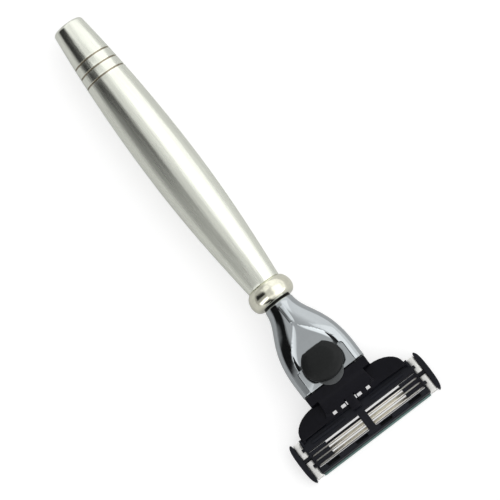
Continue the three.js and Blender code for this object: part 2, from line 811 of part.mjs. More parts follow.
const finishes = {
  nickel: { color: 0xc9c6b6, roughness: 0.28, metalness: 1 },
  chrome: { color: 0xdfe3e8, roughness: 0.08, metalness: 1 },
  steel: { color: 0xd8dad6, roughness: 0.25, metalness: 1 },
  brass: { color: 0xb08d4a, roughness: 0.35, metalness: 1 },
  rubber: { color: 0x151515, roughness: 0.8, metalness: 0 },
  buttonBlack: { color: 0x1c1e1e, roughness: 0.55, metalness: 0 },
  greyPlastic: { color: 0x55585a, roughness: 0.5, metalness: 0 },
  hubBlack: { color: 0x15161b, roughness: 0.35, metalness: 0 },
  housingBlack: { color: 0x1e2128, roughness: 0.4, metalness: 0 },
  stripTeal: { color: 0x5f8f86, roughness: 0.6, metalness: 0 },
};

function piece(name, body, finish) {
  const mesh = new THREE.Mesh(geometryOf(body), new THREE.MeshStandardMaterial(finishes[finish]));
  mesh.name = name;
  return mesh;
}

const razor = new THREE.Group();
razor.position.set(0, barEnd / 2, axisHeight);

const handle = new THREE.Group();
handle.add(
  piece('handle_body', handleBody(), 'nickel'),
  piece('threaded_insert', threadedInsert(), 'brass'),
  piece('joining_stud', joiningStud(), 'steel'),
  piece('neck_ring', neckRing(), 'nickel'),
  piece('neck_gasket', neckGasket(), 'rubber'),
);

const head = new THREE.Group();
head.add(
  piece('head_casting', headCasting(), 'chrome'),
  piece('button_cap', buttonCap(), 'buttonBlack'),
  piece('button_carriage', buttonCarriage(), 'greyPlastic'),
  piece('ejector_plate', ejectorPlate(), 'greyPlastic'),
  piece('return_spring_left', returnSpring(-1), 'steel'),
  piece('return_spring_right', returnSpring(1), 'steel'),
  piece('plunger_guide', plungerGuide(), 'greyPlastic'),
  piece('pivot_plunger', pivotPlunger(), 'hubBlack'),
  piece('plunger_spring', plungerSpring(), 'steel'),
);

const cartridge = new THREE.Group();
cartridge.add(
  piece('cartridge_hub', cartridgeHub(), 'hubBlack'),
  piece('cartridge_housing', cartridgeHousing(), 'housingBlack'),
  piece('guard_strip', guardStrip(), 'rubber'),
  piece('lubricating_strip', lubricatingStrip(), 'stripTeal'),
  piece('retaining_clip_left', retainingClip(-1), 'steel'),
  piece('retaining_clip_right', retainingClip(1), 'steel'),
);
for (let i = 0; i < bladeCount; i += 1) {
  cartridge.add(
    piece(`blade_${i + 1}`, blade(i), 'steel'),
    piece(`blade_support_${i + 1}`, bladeSupport(i), 'steel'),
  );
}

razor.add(handle, head, cartridge);

export default razor;
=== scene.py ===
import json
from math import atan2, cos, pi, radians, sin

import bmesh
import bpy
from mathutils import Matrix, Vector

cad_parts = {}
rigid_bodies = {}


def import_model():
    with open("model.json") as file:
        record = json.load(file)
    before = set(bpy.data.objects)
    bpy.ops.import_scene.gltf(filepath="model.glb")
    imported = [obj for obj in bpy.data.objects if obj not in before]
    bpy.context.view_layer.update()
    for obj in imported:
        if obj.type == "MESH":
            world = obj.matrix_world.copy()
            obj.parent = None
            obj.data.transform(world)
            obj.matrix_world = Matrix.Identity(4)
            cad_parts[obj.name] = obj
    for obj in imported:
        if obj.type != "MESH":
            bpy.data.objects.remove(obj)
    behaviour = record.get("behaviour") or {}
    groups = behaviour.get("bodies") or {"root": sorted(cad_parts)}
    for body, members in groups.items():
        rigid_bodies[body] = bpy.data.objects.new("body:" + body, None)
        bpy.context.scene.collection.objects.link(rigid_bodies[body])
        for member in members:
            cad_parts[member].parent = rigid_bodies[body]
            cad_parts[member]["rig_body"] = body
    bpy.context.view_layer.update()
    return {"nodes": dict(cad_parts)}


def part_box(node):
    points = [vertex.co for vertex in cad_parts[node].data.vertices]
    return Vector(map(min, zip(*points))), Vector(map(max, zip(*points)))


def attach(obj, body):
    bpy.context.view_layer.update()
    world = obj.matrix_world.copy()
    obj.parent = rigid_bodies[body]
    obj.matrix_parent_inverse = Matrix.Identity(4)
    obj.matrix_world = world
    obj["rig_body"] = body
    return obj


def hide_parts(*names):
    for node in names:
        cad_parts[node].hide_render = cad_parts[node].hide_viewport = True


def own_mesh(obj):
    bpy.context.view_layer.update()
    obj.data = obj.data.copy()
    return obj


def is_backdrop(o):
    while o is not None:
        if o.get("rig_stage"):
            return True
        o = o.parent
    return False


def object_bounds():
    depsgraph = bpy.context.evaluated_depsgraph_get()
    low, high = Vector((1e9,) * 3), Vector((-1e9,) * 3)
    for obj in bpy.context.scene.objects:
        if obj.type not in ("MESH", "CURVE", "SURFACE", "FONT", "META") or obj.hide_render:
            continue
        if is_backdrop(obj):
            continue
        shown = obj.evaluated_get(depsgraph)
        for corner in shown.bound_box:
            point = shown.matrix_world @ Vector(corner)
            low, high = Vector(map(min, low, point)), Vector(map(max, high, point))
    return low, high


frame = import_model()
print("frame loaded:", len(frame["nodes"]), "nodes")

mm = 0.001
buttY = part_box("handle_body")[1].y      # stations count from the butt end, towards the cartridge
axisZ = sum(corner.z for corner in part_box("neck_ring")) / 2
neckAt = (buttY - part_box("head_casting")[1].y) / mm
mouthAt = (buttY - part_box("head_casting")[0].y) / mm


# ways of working

def clear():
    if bpy.context.object and bpy.context.object.mode != "OBJECT":
        bpy.ops.object.mode_set(mode="OBJECT")
    bpy.ops.object.select_all(action="DESELECT")


def openForEdit(obj):
    clear()
    obj.select_set(True)
    bpy.context.view_layer.objects.active = obj
    bpy.ops.object.mode_set(mode="EDIT")
    bpy.ops.mesh.select_all(action="DESELECT")


def started(name):
    # the primitive just added gets its name, and its place goes into its mesh
    obj = bpy.context.object
    obj.name = name
    bpy.ops.object.transform_apply(location=True, rotation=True, scale=True)
    return obj


def pick(kind, test):
    # selects the vertices, edges or faces that pass a test, by place or normal
    mesh = bmesh.from_edit_mesh(bpy.context.object.data)
    bpy.ops.mesh.select_all(action="DESELECT")
    bpy.context.tool_settings.mesh_select_mode = (kind == "verts", kind == "edges", kind == "faces")
    mesh.select_mode = {kind[:-1].upper()}
    for item in getattr(mesh, kind):
        if test(item):
            item.select_set(True)
    mesh.select_flush_mode()
    bmesh.update_edit_mesh(bpy.context.object.data)


def middle(edge):
    return (edge.verts[0].co + edge.verts[1].co) / 2


def station(s):
    return buttY - s * mm


def cuboid(name, x0, x1, s0, s1, z0, z1):
    # a block between two x, two stations and two levels about the handle's axis
    clear()
    bpy.ops.mesh.primitive_cube_add(
        size=1,
        location=((x0 + x1) / 2 * mm, station((s0 + s1) / 2), axisZ + (z0 + z1) / 2 * mm),
        scale=(abs(x1 - x0) * mm, abs(s1 - s0) * mm, abs(z1 - z0) * mm))
    return started(name)


def drawnOut(name, sides, sections, closed=False):
    # a ring pulled along the handle: each section is station, level, half width, half height
    s, level, wide, high = sections[0]
    clear()
    bpy.ops.mesh.primitive_circle_add(
        vertices=sides, radius=mm, fill_type="NOTHING",
        location=(0, station(s), axisZ + level * mm), rotation=(pi / 2, 0, 0))
    obj = started(name)
    openForEdit(obj)
    bpy.ops.mesh.select_all(action="SELECT")
    bpy.ops.transform.resize(value=(wide, 1, high),
                             center_override=(0, station(s), axisZ + level * mm))
    for nextS, nextLevel, nextWide, nextHigh in sections[1:]:
        bpy.ops.mesh.extrude_region_move(TRANSFORM_OT_translate={
            "value": (0, station(nextS) - station(s), (nextLevel - level) * mm)})
        bpy.ops.transform.resize(
            value=(nextWide / wide, 1, nextHigh / high),
            center_override=(0, station(nextS), axisZ + nextLevel * mm))
        s, level, wide, high = nextS, nextLevel, nextWide, nextHigh
    bpy.ops.mesh.select_all(action="SELECT")
    bpy.ops.mesh.remove_doubles(threshold=1e-7)
    if not closed:
        ends = (station(sections[0][0]), station(sections[-1][0]))
        pick("edges", lambda edge: edge.is_boundary and abs(middle(edge).y - ends[0]) < 1e-7)
        bpy.ops.mesh.edge_face_add()
        pick("edges", lambda edge: edge.is_boundary and abs(middle(edge).y - ends[1]) < 1e-7)
        if sections[-1][2] > 0:
            bpy.ops.mesh.edge_face_add()
    bpy.ops.mesh.select_all(action="SELECT")
    bpy.ops.mesh.normals_make_consistent(inside=False)
    clear()
    return obj


def turnedPiece(name, sides, outline, closed=False):
    return drawnOut(name, sides, [(s, 0, r, r) for s, r in outline], closed)


def cutWith(obj, *tools, kind="DIFFERENCE"):
    for tool in tools:
        clear()
        bpy.context.view_layer.objects.active = obj
        obj.select_set(True)
        cut = obj.modifiers.new("cut", "BOOLEAN")
        cut.operation = kind
        cut.solver = "EXACT"
        cut.object = tool
        bpy.ops.object.modifier_apply(modifier="cut")
        bpy.data.objects.remove(tool)


def softened(obj, width, segments, angle):
    # small round on the sharp edges
    clear()
    bpy.context.view_layer.objects.active = obj
    obj.select_set(True)
    bevel = obj.modifiers.new("edges", "BEVEL")
    bevel.width = width * mm
    bevel.segments = segments
    bevel.limit_method = "ANGLE"
    bevel.angle_limit = radians(angle)
    bevel.use_clamp_overlap = False
    bevel.miter_outer = "MITER_ARC"
    bpy.ops.object.modifier_apply(modifier="edges")


def shaded(obj, angle=35):
    clear()
    obj.select_set(True)
    bpy.context.view_layer.objects.active = obj
    bpy.ops.object.shade_smooth_by_angle(angle=radians(angle))


def copyOf(node, name, width=0, segments=1, angle=28):
    # a copy of a frame node with its triangles merged into whole faces, softened by width
    clear()
    obj = bpy.data.objects.new(name, frame["nodes"][node].data.copy())
    bpy.context.scene.collection.objects.link(obj)
    openForEdit(obj)
    bpy.ops.mesh.customdata_custom_splitnormals_clear()
    bpy.ops.mesh.select_all(action="SELECT")
    bpy.ops.mesh.remove_doubles(threshold=1e-6)
    bpy.ops.mesh.dissolve_limited(angle_limit=radians(0.5))
    bpy.ops.mesh.select_all(action="SELECT")
    bpy.ops.mesh.vert_connect_concave()
    clear()
    if width > 0:
        softened(obj, width, segments, angle)
    return obj


def evened(obj):
    # large faces rule the shading of the small rounds beside them
    clear()
    bpy.context.view_layer.objects.active = obj
    obj.select_set(True)
    even = obj.modifiers.new("even", "WEIGHTED_NORMAL")
    even.keep_sharp = True
    even.weight = 100
    bpy.ops.object.modifier_apply(modifier="even")


def done(obj, node, finish, angle=35, flat=False):
    # rides with the node that it stands for
    shaded(obj, angle)
    if flat:
        evened(obj)
    clear()
    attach(obj, frame["nodes"][node]["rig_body"])
    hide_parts(node)
    obj.data.materials.clear()
    obj.data.materials.append(finish)


def softCopy(node, look, name=None):
    # a softened copy of a frame node in its place, named, rounded, finished and evened as its
    # dictionary says
    piece = copyOf(node, name or look["name"], look["edge"], look["steps"])
    done(piece, node, finishes[look["finish"]], flat=look.get("even", False))


def bezier(ends, share):
    a, b, c, d = ends
    rest = 1 - share
    return tuple(rest ** 3 * p + 3 * rest ** 2 * share * q
                 + 3 * rest * share ** 2 * r + share ** 3 * t
                 for p, q, r, t in zip(a, b, c, d))


def curve(ends, count):
    return [bezier(ends, i / count) for i in range(count + 1)]


def smooth(t):
    t = min(1, max(0, t))
    return t * t * (3 - 2 * t)


# finishes

mixColourA, mixColourB, mixColourOut = 6, 7, 2      # sockets of a Mix node set to colour


def lined(material, stations, half, dark):
    # painted shade: darker lines round the piece at some stations, standing in for the shade inside
    # grooves
    tree = material.node_tree
    place = tree.nodes.new("ShaderNodeTexCoord")
    split = tree.nodes.new("ShaderNodeSeparateXYZ")
    tree.links.new(place.outputs["Object"], split.inputs["Vector"])
    colour = tree.nodes["Principled BSDF"].inputs["Base Color"]
    for s in stations:
        near = tree.nodes.new("ShaderNodeMath")
        near.operation = "COMPARE"
        near.inputs[1].default_value = station(s)
        near.inputs[2].default_value = half * mm
        tree.links.new(split.outputs["Y"], near.inputs[0])
        line = tree.nodes.new("ShaderNodeMix")
        line.data_type = "RGBA"
        line.inputs[mixColourB].default_value = (*dark, 1)
        tree.links.new(near.outputs["Value"], line.inputs["Factor"])
        tree.links.new(colour.links[0].from_socket, line.inputs[mixColourA])
        tree.links.new(line.outputs[mixColourOut], colour)


def finish(name, base, rough, metallic=0.0, tint=0.06, grain=(1, 1, 1), size=900,
           roughSpread=0.06, bump=0.05, bumpSize=2500, bumpGrain=(1, 1, 1), specular=0.5,
           patch=60):
    # two layers of noise vary the colour, a third the gloss and a fourth the surface
    material = bpy.data.materials.new(name)
    material.use_nodes = True
    tree = material.node_tree
    shader = tree.nodes["Principled BSDF"]
    shader.inputs["Metallic"].default_value = metallic
    shader.inputs["Specular IOR Level"].default_value = specular
    place = tree.nodes.new("ShaderNodeTexCoord")

    def noise(scale, stretch, detail, roughness=0.55):
        mapping = tree.nodes.new("ShaderNodeMapping")
        mapping.inputs["Scale"].default_value = stretch
        texture = tree.nodes.new("ShaderNodeTexNoise")
        texture.inputs["Scale"].default_value = scale
        texture.inputs["Detail"].default_value = detail
        texture.inputs["Roughness"].default_value = roughness
        tree.links.new(place.outputs["Object"], mapping.inputs["Vector"])
        tree.links.new(mapping.outputs["Vector"], texture.inputs["Vector"])
        return texture

    fine = noise(size, grain, 5)
    broad = noise(patch, grain, 3)
    both = tree.nodes.new("ShaderNodeMix")
    both.data_type = "FLOAT"
    both.inputs["Factor"].default_value = 0.5
    tree.links.new(fine.outputs["Fac"], both.inputs["A"])
    tree.links.new(broad.outputs["Fac"], both.inputs["B"])
    ramp = tree.nodes.new("ShaderNodeValToRGB")
    low = tuple(max(0, c * (1 - tint)) for c in base)
    high = tuple(min(1, c * (1 + tint)) for c in base)
    ramp.color_ramp.elements[0].position = 0.36
    ramp.color_ramp.elements[0].color = (*low, 1)
    ramp.color_ramp.elements[1].position = 0.62
    ramp.color_ramp.elements[1].color = (*high, 1)
    tree.links.new(both.outputs["Result"], ramp.inputs["Fac"])
    tree.links.new(ramp.outputs["Color"], shader.inputs["Base Color"])

    gloss = noise(size * 0.6, grain, 4)
    spread = tree.nodes.new("ShaderNodeMapRange")
    spread.inputs["From Min"].default_value = 0.3
    spread.inputs["From Max"].default_value = 0.7
    spread.inputs["To Min"].default_value = max(0.02, rough - roughSpread)
    spread.inputs["To Max"].default_value = rough + roughSpread
    tree.links.new(gloss.outputs["Fac"], spread.inputs["Value"])
    tree.links.new(spread.outputs["Result"], shader.inputs["Roughness"])

    surface = noise(bumpSize, bumpGrain, 4)
    relief = tree.nodes.new("ShaderNodeBump")
    relief.inputs["Strength"].default_value = bump
    relief.inputs["Distance"].default_value = 0.0001
    tree.links.new(surface.outputs["Fac"], relief.inputs["Height"])
    tree.links.new(relief.outputs["Normal"], shader.inputs["Normal"])
    return material


finishes = {
    "nickel": finish("polishedNickel", (0.87, 0.89, 0.8), 0.25, metallic=1, tint=0.08,
                     grain=(1, 0.035, 1), size=1100, roughSpread=0.07, bump=0.25,
                     bumpSize=2600, bumpGrain=(1, 0.03, 1), patch=220),
    "ringNickel": finish("ringNickel", (0.83, 0.82, 0.69), 0.17, metallic=1, tint=0.1, size=700,
                         roughSpread=0.07, bump=0.15, bumpSize=1800, patch=260),
    "chrome": finish("brightChrome", (0.47, 0.5, 0.515), 0.07, metallic=1, tint=0.03, size=500,
                     roughSpread=0.03, bump=0.03, bumpSize=900),
    "steel": finish("springSteel", (0.62, 0.61, 0.58), 0.28, metallic=1, grain=(0.2, 1, 1),
                    bump=0.1),
    "bladeSteel": finish("bladeSteel", (0.96, 0.94, 0.88), 0.32, metallic=1, tint=0.03,
                         grain=(0.05, 1, 1), size=2500, bump=0.04, bumpGrain=(0.03, 1, 1)),
    "clipMetal": finish("clipMetal", (0.96, 0.96, 0.92), 0.3, metallic=1, size=1200, bump=0.12),
    "brass": finish("turnedBrass", (0.66, 0.48, 0.2), 0.32, metallic=1, grain=(1, 8, 1), bump=0.1),
    "rubber": finish("gasketRubber", (0.012, 0.012, 0.012), 0.6, tint=0.3, bump=0.3,
                     specular=0.12),
    "buttonBlack": finish("buttonBlack", (0.007, 0.008, 0.008), 0.45, tint=0.25, size=1500,
                          bump=0.25, bumpSize=6000, specular=0.22),
    "greyPlastic": finish("greyPlastic", (0.085, 0.09, 0.092), 0.42, tint=0.12, bump=0.15,
                          specular=0.25),
    "hubBlack": finish("hubBlack", (0.0035, 0.0035, 0.006), 0.34, tint=0.3, bump=0.12,
                       bumpSize=3500, specular=0.13),
    "housingBlack": finish("housingBlack", (0.006, 0.007, 0.011), 0.36, tint=0.25, bump=0.15,
                           bumpSize=3500, specular=0.2),
    "guardRubber": finish("guardRubber", (0.012, 0.014, 0.017), 0.6, tint=0.2, bump=0.3,
                          specular=0.15),
    "strip": finish("waxyStrip", (0.11, 0.19, 0.175), 0.5, tint=0.2, size=1600, bump=0.3,
                    bumpSize=4000),
}
print("finishes made:", len(finishes))


# handle

handle = {
    "length": 85.9, "butt": 8.7, "belly": 14.0, "bellyAt": 47.0, "neck": 9.5,
    "buttFullness": 0.68, "neckFullness": 0.58,     # how soon the belly is reached
    "edge": 0.9, "edgeSteps": 8, "step": 1.2, "lip": 0.35,
    "grooves": (11.2, 14.2, 17.2), "grooveDepth": 0.27, "grooveHalf": 0.2,
    # grooveShade is painted shade: the darker colour laid along the groove floors
    "grooveShade": (0.34, 0.3, 0.23), "bore": 3.55, "boreDepth": 11.8, "sides": 128,
}


def handleRadius(s):
    h = handle
    butt, belly, neck = h["butt"] / 2, h["belly"] / 2, h["neck"] / 2
    if s < h["bellyAt"]:
        share = s / h["bellyAt"]
        ends = (butt,), (butt + h["buttFullness"] * (belly - butt),), (belly,), (belly,)
    else:
        share = (s - h["bellyAt"]) / (h["length"] - h["bellyAt"])
        ends = (belly,), (belly,), (neck + h["neckFullness"] * (belly - neck),), (neck,)
    return bezier(ends, share)[0]


def handleOutline():
    h = handle
    edgeRadius = handleRadius(h["edge"])
    outline = []
    for i in range(h["edgeSteps"] + 1):
        turn = pi / 2 * i / h["edgeSteps"]
        outline.append((h["edge"] * (1 - cos(turn)), edgeRadius - h["edge"] * (1 - sin(turn))))
    end = h["length"]
    steps = int(end / h["step"])
    stations = [h["edge"] + h["step"] * i for i in range(1, steps + 1)]
    stations = [s for s in stations if s < end - 0.5
                and all(abs(s - groove) > 0.6 for groove in h["grooves"])]
    points = [(s, handleRadius(s)) for s in stations]
    for groove in h["grooves"]:
        # both walls lean slightly and both brims are eased
        r, floorR = handleRadius(groove), handleRadius(groove) - h["grooveDepth"]
        first, last = groove - h["grooveHalf"], groove + h["grooveHalf"]
        points += [(first - 0.3, handleRadius(first - 0.3)), (first - 0.08, r),
                   (first - 0.02, r - 0.04), (first + 0.02, floorR),
                   (last - 0.02, floorR), (last + 0.02, r - 0.03),
                   (last + 0.07, r + 0.05), (last + 0.5, handleRadius(last + 0.5))]
    outline += sorted(points)
    outline += [(end - h["lip"], handleRadius(end - h["lip"])),
                (end - 0.1, handleRadius(end) - 0.02),
                (end, handleRadius(end) - 0.12), (end, h["bore"]),
                (end - h["boreDepth"], h["bore"]), (end - h["boreDepth"] - 2, 0)]
    return outline


handlePiece = turnedPiece("handleBody", handle["sides"], handleOutline())
# painted shade: each groove of the handle gets a darker base colour over its width
lined(finishes["nickel"], handle["grooves"], handle["grooveHalf"], handle["grooveShade"])
done(handlePiece, "handle_body", finishes["nickel"], 30)
print("handle turned")


# neck ring and gasket

ring = {
    "start": 85.95, "length": 5.55, "edge": 4.6, "bulge": 1.7, "bore": 2.55,
    "lean": 0.86,      # below 1, the fullest place is nearer to the head
    "steps": 24, "sides": 128,
}
outline = [(ring["start"], ring["bore"])]
for i in range(ring["steps"] + 1):
    turn = pi * i / ring["steps"]
    outline.append((ring["start"] + ring["length"] * ((1 - cos(turn)) / 2) ** ring["lean"],
                    ring["edge"] + ring["bulge"] * sin(turn)))
outline += [(ring["start"] + ring["length"], ring["bore"]), outline[0]]
ringPiece = turnedPiece("neckRing", ring["sides"], outline, closed=True)
done(ringPiece, "neck_ring", finishes["ringNickel"], 40)

gasket = {
    "start": 91.55, "thickness": 0.45, "radius": 3.95, "bore": 2.55,
    "round": 0.15, "halfway": 0.07, "sides": 96,
}
low, high = gasket["start"], gasket["start"] + gasket["thickness"]
rim, easy, halfway = gasket["radius"], gasket["round"], gasket["halfway"]
outline = [(low, gasket["bore"]), (low, rim - easy), (low + halfway, rim - halfway),
           (low + easy, rim), (high - easy, rim), (high - halfway, rim - halfway),
           (high, rim - easy), (high, gasket["bore"]), (low, gasket["bore"])]
gasketPiece = turnedPiece("neckGasket", gasket["sides"], outline, closed=True)
done(gasketPiece, "neck_gasket", finishes["rubber"], 50)
print("ring and gasket turned")


# head casting

head = {
    "length": 24.0, "neck": 4.2, "half": 9.65, "shoulder": 20.0, "top": 5.1, "bottom": 4.4,
    "flareFrom": (0.275, 0.1), "flareTo": (0.4, 0.05),      # share of the shoulder, and inset
    "grownBy": 0.7,                                         # share of the shoulder
    "square": 2.8, "sides": 128, "rows": 44, "endEase": 0.12, "endInset": 0.1,
    "apex": 6.2, "fanEnd": 17.6, "fanHalf": 6.7, "scoopLevel": 5.35, "scoopFloor": 3.2,
    "fanShallow": 0.6, "fanFloor": 3.85, "fanFlatter": 18,
    "fanWidths": (0.12, 4.2, 7.0), "fanDeepening": 0.85, "fanRows": 14, "fanSides": 96,
    "edgeRound": (0.14, 3, 32),     # width, segments and least angle of the edge rounds
    "ridge": {"from": 1.3, "to": 6.5, "half": 2.1, "crest": 0.12, "rise": 0.3, "thick": 1.2},
    "channelHalf": 7.2, "channelStart": 17.9, "channelRound": 0.9,
}

flareFrom, flareTo = head["flareFrom"], head["flareTo"]
headPlan = curve(((0, head["neck"]),
                  (head["shoulder"] * flareFrom[0], head["neck"] - flareFrom[1]),
                  (head["shoulder"] * flareTo[0], head["half"] - flareTo[1]),
                  (head["shoulder"], head["half"])), 200)


def headSection(h):
    # half width, top, bottom and squareness of the head at h from its neck
    half = next((wide for at, wide in headPlan if at >= h), head["half"])
    grown = smooth(h / (head["shoulder"] * head["grownBy"]))
    top = head["neck"] + (head["top"] - head["neck"]) * grown
    bottom = head["neck"] + (head["bottom"] - head["neck"]) * grown
    return half, top, bottom, 2 + (head["square"] - 2) * grown


rows = [head["length"] * i / head["rows"] for i in range(head["rows"] + 1)]
rows[-1] = head["length"] - head["endEase"]
rows.append(head["length"])
sections = []
for h in rows:
    half, top, bottom, square = headSection(h)
    shrink = head["endInset"] if h in (0, head["length"]) else 0
    sections.append((neckAt + h, (top - bottom) / 2, half - shrink, (top + bottom) / 2 - shrink))
headPiece = drawnOut("headCasting", head["sides"], sections)


def squaredOff(obj, sectionAt):
    # draws oval sections out towards their corners
    for vertex in obj.data.vertices:
        half, high, level, square = sectionAt((buttY - vertex.co.y) / mm)
        x = vertex.co.x / (half * mm)
        z = (vertex.co.z - axisZ - level * mm) / (high * mm)
        reach = (x * x + z * z) ** 0.5
        if reach > 0.5:
            wide = (abs(x / reach) ** square + abs(z / reach) ** square) ** (1 / square)
            vertex.co.x = vertex.co.x / wide
            vertex.co.z = axisZ + level * mm + (vertex.co.z - axisZ - level * mm) / wide


def outerSection(s):
    half, top, bottom, square = headSection(min(max(s - neckAt, 0), head["length"]))
    return half, (top + bottom) / 2, (top - bottom) / 2, square


squaredOff(headPiece, outerSection)

fan = []
deepest = head["scoopLevel"] - head["fanFloor"]
widths = [(width,) for width in (*head["fanWidths"], head["fanHalf"])]
for i in range(head["fanRows"] + 1):
    share = i / head["fanRows"]
    h = head["apex"] + (head["fanEnd"] - head["apex"]) * share
    wide = bezier(widths, share)[0]
    deep = head["fanShallow"] + (deepest - head["fanShallow"]) * share ** head["fanDeepening"]
    fan.append((neckAt + h, head["scoopLevel"], wide, deep))
fan.append((neckAt + head["channelStart"] + 1.5, head["scoopLevel"], head["fanHalf"], deepest))
scoop = drawnOut("scoop", head["fanSides"], fan)
for vertex in scoop.data.vertices:
    # a hollow with a rounded floor, which flattens towards the button
    s = (buttY - vertex.co.y) / mm
    wide, deep = next((wide, deep) for at, level, wide, deep in fan if at >= s - 1e-3)
    fall = (vertex.co.z - axisZ - head["scoopLevel"] * mm) / (deep * mm)
    across = vertex.co.x / (wide * mm)
    if fall < 0 and abs(across) + abs(fall) > 0.5:
        turned = atan2(across, -fall) / (pi / 2)
        vertex.co.x = wide * turned * mm
        share = (s - neckAt - head["apex"]) / (head["fanEnd"] - head["apex"])
        flatness = 2 + head["fanFlatter"] * max(0, share) ** 3
        rise = abs(turned) ** flatness
        vertex.co.z = axisZ + (head["scoopLevel"] - deep * (1 - rise)) * mm
channel = cuboid("channel", -head["channelHalf"], head["channelHalf"],
                 neckAt + head["channelStart"], mouthAt + 1, head["scoopFloor"], 8)
openForEdit(channel)
pick("edges", lambda edge: middle(edge).y > station(neckAt + head["channelStart"]) - 1e-5
     and abs(edge.verts[0].co.x - edge.verts[1].co.x) < 1e-6)
bpy.ops.mesh.bevel(offset=head["channelRound"] * mm, segments=6, affect="EDGES")
clear()
ridge = head["ridge"]
low, high = (headSection(ridge[end])[1] for end in ("from", "to"))
spine = cuboid("spine", -ridge["half"], ridge["half"], neckAt + ridge["from"],
               neckAt + ridge["to"], low - ridge["thick"], low)
openForEdit(spine)
pick("verts", lambda v: v.co.z > axisZ + (low - ridge["thick"] / 2) * mm)
bpy.ops.transform.resize(value=(ridge["crest"], 1, 1), center_override=(0, 0, axisZ))
bpy.ops.transform.translate(value=(0, 0, ridge["rise"] * mm))
pick("verts", lambda v: v.co.z > axisZ + low * mm
     and v.co.y < station(neckAt + (ridge["from"] + ridge["to"]) / 2))
bpy.ops.transform.translate(value=(0, 0, (high - low) * mm))
clear()
cutWith(headPiece, spine, kind="UNION")
cutWith(headPiece, scoop, channel)

pockets = {      # two x, two stations and two levels
    "plug": (-6.6, 6.6, 109.55, 117.05, -3.0, 2.4),
    "guide": (-5.6, 5.6, 101.05, 109.85, -3.0, 2.4),
    "stem": (-1.9, 1.9, 107.15, 112.75, 1.9, 4.2),
}
bores = {        # sides, two stations, level and radius
    "studBore": (48, neckAt - 1, 97.35, 0, 2.55),
    "springBore": (32, 98.45, 102.05, -1.1, 1.45),
}
for name, size in pockets.items():
    cutWith(headPiece, cuboid(name, *size))
for name, (sides, first, last, level, radius) in bores.items():
    bore = drawnOut(name, sides, [(first, level, radius, radius), (last, level, radius, radius)])
    cutWith(headPiece, bore)
softened(headPiece, *head["edgeRound"])
done(headPiece, "head_casting", finishes["chrome"], 30)
print("head cast")


# release button

button = {
    "half": 5.6, "rear": 4.65, "front": 4.75, "centre": 111.75, "low": 4.25, "wall": 1.5,
    "corner": 1.3, "cornerSteps": 8, "sides": 96,
    # the crown rises in rings: each one's rise, shift back and share of the last
    "crown": ((0.2, 0, 0.985), (0.22, 0.02, 0.965), (0.2, 0.08, 0.94), (0.16, 0.22, 0.9),
              (0.14, 0.24, 0.9), (0.1, 0.2, 0.92), (0.05, 0.1, 0.92), (0.04, 0, 0.7),
              (0.02, 0, 0.5)),
}
clear()
bpy.ops.mesh.primitive_cylinder_add(
    vertices=button["sides"], radius=button["half"] * mm, depth=button["wall"] * mm,
    location=(0, station(button["centre"]), axisZ + (button["low"] + button["wall"] / 2) * mm))
buttonPiece = started("buttonCap")
openForEdit(buttonPiece)
centreY = station(button["centre"])
pick("verts", lambda v: v.co.y < centreY - 1e-6)
bpy.ops.transform.resize(value=(1, button["front"] / button["half"], 1),
                         center_override=(0, centreY, axisZ))
bpy.ops.mesh.select_all(action="SELECT")
bpy.ops.mesh.bisect(plane_co=(0, centreY + button["rear"] * mm, 0), plane_no=(0, 1, 0),
                    use_fill=True, clear_outer=True)
flatY = centreY + button["rear"] * mm
pick("edges", lambda e: all(abs(v.co.y - flatY) < 1e-6 for v in e.verts)
     and abs(e.verts[0].co.x - e.verts[1].co.x) < 1e-6)
bpy.ops.mesh.bevel(offset=button["corner"] * mm, segments=button["cornerSteps"], affect="EDGES")
bpy.ops.mesh.select_all(action="SELECT")
bpy.ops.mesh.remove_doubles(threshold=0.02 * mm)
pick("faces", lambda f: f.normal.z > 0.9)
for rise, shift, share in button["crown"]:
    bpy.ops.mesh.extrude_region_move(TRANSFORM_OT_translate={"value": (0, shift * mm, rise * mm)})
    bpy.ops.transform.resize(value=(share, share, 1), center_override=(0, centreY, axisZ))
clear()
done(buttonPiece, "button_cap", finishes["buttonBlack"], 60)

carriage = {"name": "buttonCarriage", "edge": 0.14, "steps": 3, "slot": "grey_plastic",
            "finish": "greyPlastic", "even": True}
softCopy("button_carriage", carriage)
print("button made")


# hub and plunger

hub = {"name": "cartridgeHub", "edge": 0.16, "steps": 3, "slot": "hub_black",
       "finish": "hubBlack", "even": True}
plunger = {"name": "pivotPlunger", "edge": 0.1, "steps": 2, "slot": "hub_black",
           "finish": "hubBlack"}
softCopy("cartridge_hub", hub)
softCopy("pivot_plunger", plunger)
print("hub made")


# cartridge

housing = {"name": "cartridgeHousing", "edge": 0.05, "steps": 2, "slot": "housing_black",
           "finish": "housingBlack", "even": True}
guard = {"name": "guardStrip", "edge": 0.03, "steps": 2, "slot": "guard_rubber",
         "finish": "guardRubber"}
waxStrip = {"name": "lubricatingStrip", "edge": 0.12, "steps": 3, "slot": "strip",
            "finish": "strip"}
clip = {"edge": 0.05, "steps": 2, "slot": "clip_metal", "finish": "clipMetal"}
blade = {"edge": 0.012, "steps": 1, "slot": "blade_steel", "finish": "bladeSteel"}
support = {"edge": 0.03, "steps": 2, "slot": "blade_steel", "finish": "bladeSteel"}
softCopy("cartridge_housing", housing)
softCopy("guard_strip", guard)
softCopy("lubricating_strip", waxStrip)
for side in ("left", "right"):
    softCopy(f"retaining_clip_{side}", clip, f"retainingClip{side.title()}")
for number in (1, 2, 3):
    softCopy(f"blade_{number}", blade, f"blade{number}")
    softCopy(f"blade_support_{number}", support, f"bladeSupport{number}")
print("cartridge made")
